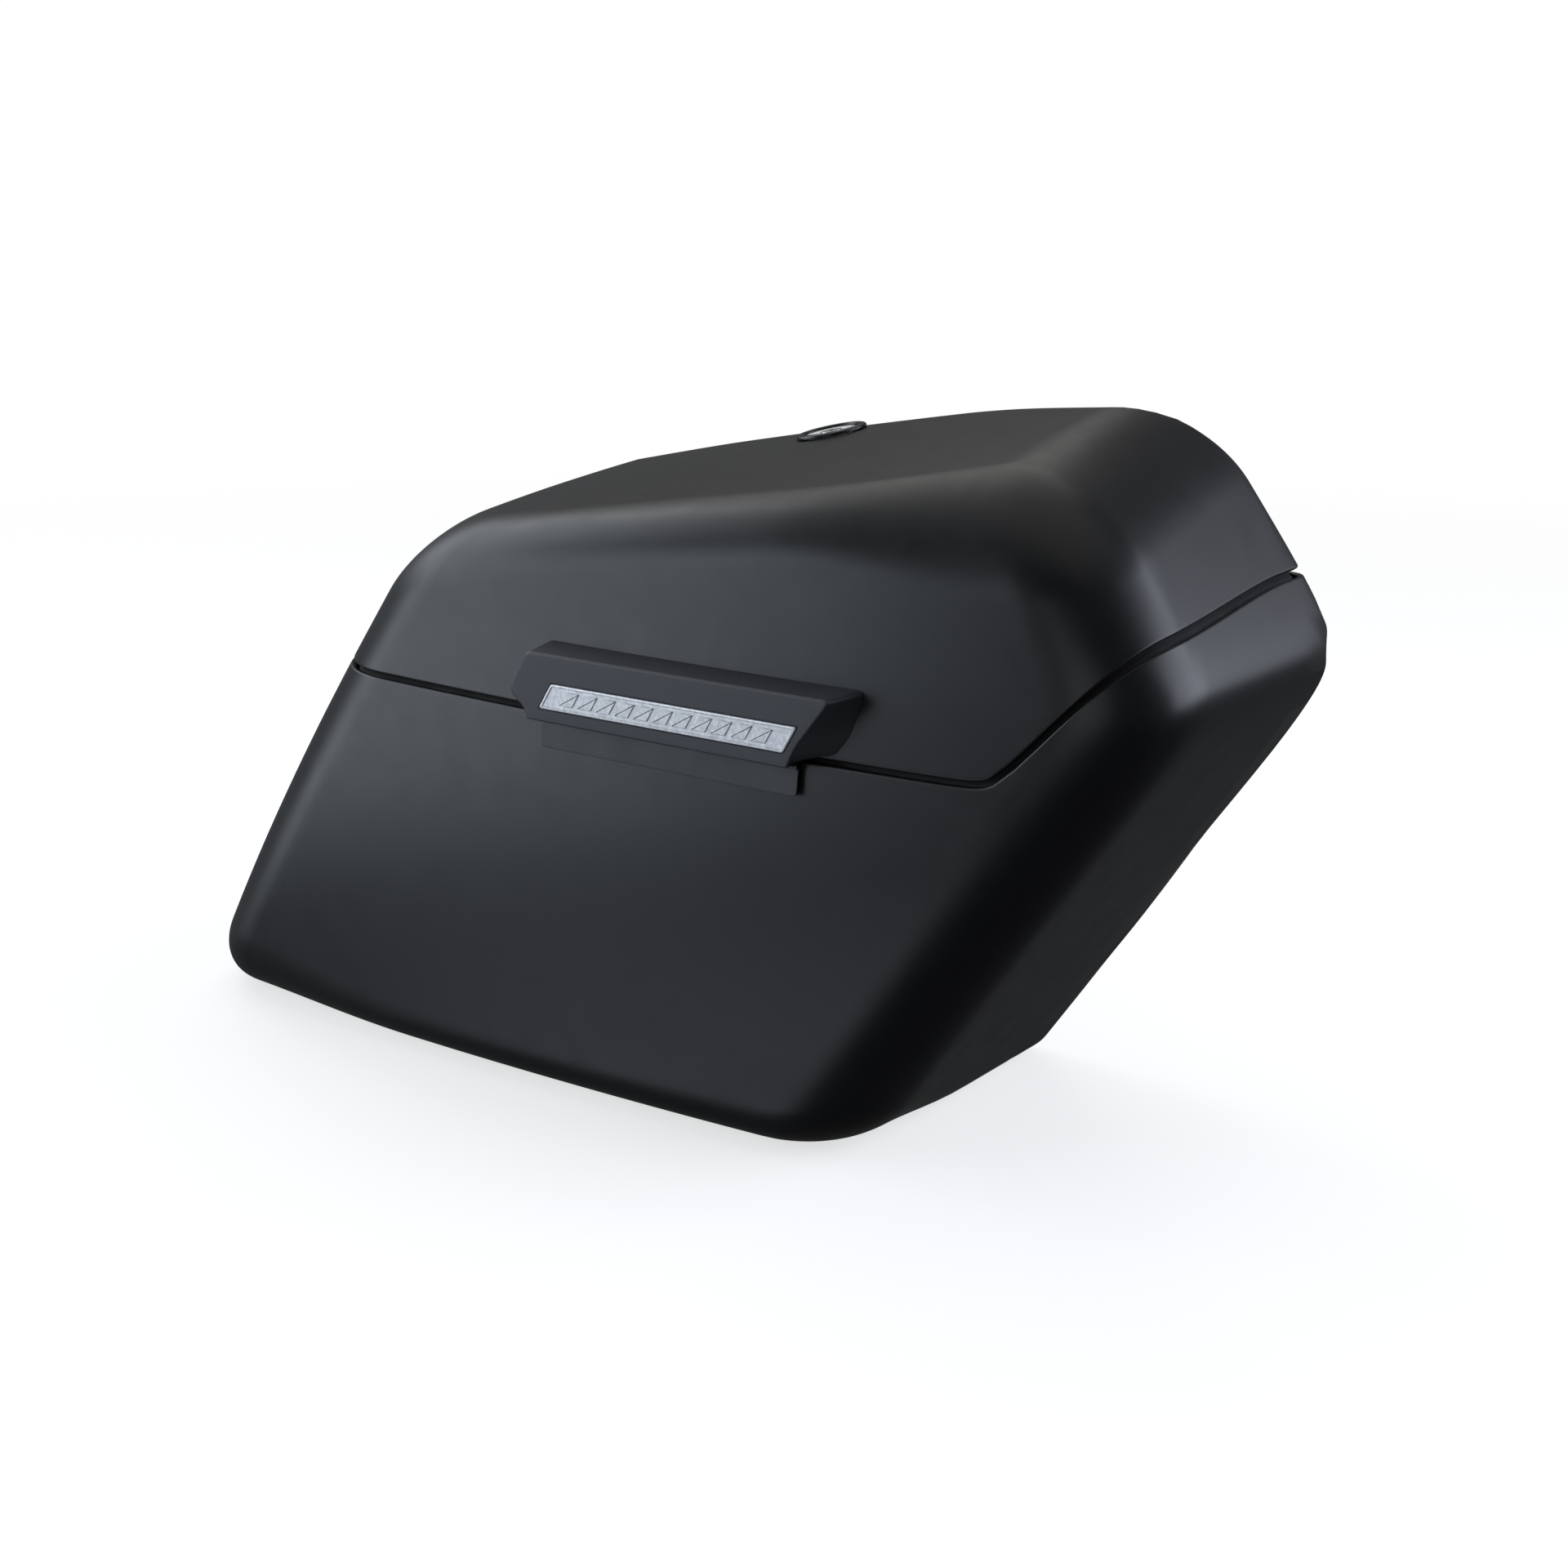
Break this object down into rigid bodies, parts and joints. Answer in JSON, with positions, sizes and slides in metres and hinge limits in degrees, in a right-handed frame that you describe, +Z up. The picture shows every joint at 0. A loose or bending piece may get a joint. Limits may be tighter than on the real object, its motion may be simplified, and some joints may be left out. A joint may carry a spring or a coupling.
{
  "type": "motorcycle saddlebag",
  "caption": "Hard-shell motorcycle saddlebag with a lid hinged on its outer side, a keyed push-button lock and bolt-on mounting.",
  "frame": {"origin": "centre of the whole part's box, at the flat bottom that it stands on", "axes": "+X towards the rear of the motorcycle along the bag's length, +Y towards the motorcycle, -Y the outer side with the hinge, +Z up"},
  "size_m": [0.6237, 0.235, 0.3593],
  "materials": {
    "satin_black_shell": "satin black moulded shell",
    "satin_black_cover": "satin black moulded cover",
    "black_steel": "black powder coat",
    "black_rubber": "matt black rubber",
    "cast_silver": "grained cast silver",
    "zinc_plated_steel": "zinc plated"
  },
  "bodies": {
    "case": {"base_shell": "satin_black_shell", "rim_seal": "black_rubber", "hinge_base_leaf": "black_steel", "hinge_pin": "zinc_plated_steel", "hinge_base_screw_1": "zinc_plated_steel", "hinge_base_screw_2": "zinc_plated_steel", "hinge_base_screw_3": "zinc_plated_steel", "hinge_base_screw_4": "zinc_plated_steel", "striker": "zinc_plated_steel", "striker_screw_1": "zinc_plated_steel", "striker_screw_2": "zinc_plated_steel", "backing_plate": "black_steel", "mounting_washer_1": "zinc_plated_steel", "mounting_washer_2": "zinc_plated_steel", "mounting_washer_3": "zinc_plated_steel", "mounting_washer_4": "zinc_plated_steel", "mounting_bolt_1": "zinc_plated_steel", "mounting_bolt_2": "zinc_plated_steel", "mounting_bolt_3": "zinc_plated_steel", "mounting_bolt_4": "zinc_plated_steel", "mounting_spacer_1": "black_rubber", "mounting_spacer_2": "black_rubber", "mounting_spacer_3": "black_rubber", "mounting_spacer_4": "black_rubber", "floor_mat": "black_rubber", "drain_plug": "black_rubber"},
    "lid": {"lid_shell": "satin_black_shell", "hinge_cover": "satin_black_cover", "cover_screw_1": "zinc_plated_steel", "cover_screw_2": "zinc_plated_steel", "nameplate": "cast_silver", "hinge_lid_leaf": "black_steel", "hinge_lid_screw_1": "zinc_plated_steel", "hinge_lid_screw_2": "zinc_plated_steel", "hinge_lid_screw_3": "zinc_plated_steel", "hinge_lid_screw_4": "zinc_plated_steel", "lock_bezel": "black_steel", "lock_housing": "zinc_plated_steel", "lock_nut": "zinc_plated_steel", "button_spring": "zinc_plated_steel", "latch_bracket": "zinc_plated_steel", "latch_pin": "zinc_plated_steel", "latch_spring": "zinc_plated_steel"},
    "button": {"push_button": "cast_silver"},
    "key": {"key_plug": "zinc_plated_steel"},
    "latch": {"latch_hook": "zinc_plated_steel"}
  },
  "joints": [
    {"name": "lid_hinge", "type": "hinge", "parent": "case", "child": "lid", "pos_m": [0.0099, -0.1085, 0.2085], "axis": [1, 0, 0], "range_deg": [0, 80]},
    {"name": "button_press", "type": "slide", "parent": "lid", "child": "button", "axis": [0.1741, 0.101, -0.9795], "range_m": [0, 0.004], "stiffness_N_per_m": 300, "springref_m": -0.006, "deforming": ["button_spring"]},
    {"name": "key_turn", "type": "hinge", "parent": "button", "child": "key", "pos_m": [0.0264, 0.0765, 0.3331], "axis": [-0.1741, -0.101, 0.9795], "range_deg": [0, 90]},
    {"name": "latch_release", "type": "hinge", "parent": "lid", "child": "latch", "pos_m": [0.0264, 0.067, 0.29], "axis": [-1, 0, 0], "range_deg": [0, 14.5]}
  ],
  "couplings": [
    {"joint": "latch_release", "follows": "button_press", "rad_per_m": 62}
  ]
}
